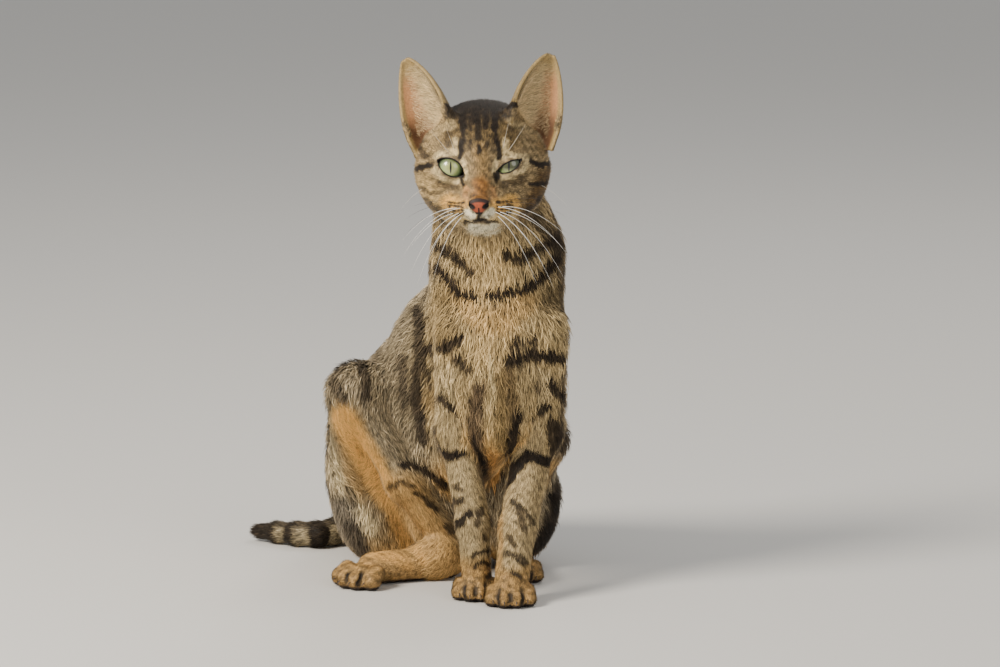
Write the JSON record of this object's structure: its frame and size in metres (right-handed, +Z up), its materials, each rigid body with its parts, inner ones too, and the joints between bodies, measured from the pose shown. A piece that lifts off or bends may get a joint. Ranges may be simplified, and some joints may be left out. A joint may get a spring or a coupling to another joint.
{
  "type": "sitting cat model",
  "caption": "Life-size still model of a young short-haired tabby cat sitting upright, head forward, tail curled round on the ground.",
  "frame": {"origin": "middle of the ground rectangle that the cat covers, on the ground", "axes": "+Z up, the cat faces -Y, its own left is +X"},
  "size_m": [0.227, 0.2869, 0.3686],
  "materials": {
    "coat_head": "short grizzled tabby fur",
    "chin": "short white fur",
    "nose_leather": "bare damp skin",
    "eye": "clear wet cornea over a pale green iris",
    "ear": "thin skin with sparse fur",
    "coat_body": "short grizzled tabby fur",
    "coat_legs": "short barred fur",
    "coat_paws": "very short tan fur",
    "coat_tail": "ringed fur"
  },
  "bodies": {
    "root": {"head": "coat_head", "lower_jaw": "chin", "nose": "nose_leather", "eye_left": "eye", "eye_right": "eye", "ear_left": "ear", "ear_right": "ear", "neck": "coat_body", "chest": "coat_body", "belly": "coat_body", "rump": "coat_body", "shoulder_left": "coat_body", "forearm_left": "coat_legs", "forepaw_left": "coat_paws", "thigh_left": "coat_body", "hind_foot_left": "coat_paws", "shoulder_right": "coat_body", "forearm_right": "coat_legs", "forepaw_right": "coat_paws", "thigh_right": "coat_body", "hind_foot_right": "coat_paws", "shank_right": "coat_legs", "tail_base": "coat_tail", "tail_middle": "coat_tail", "tail_tip": "coat_tail"}
  },
  "joints": []
}
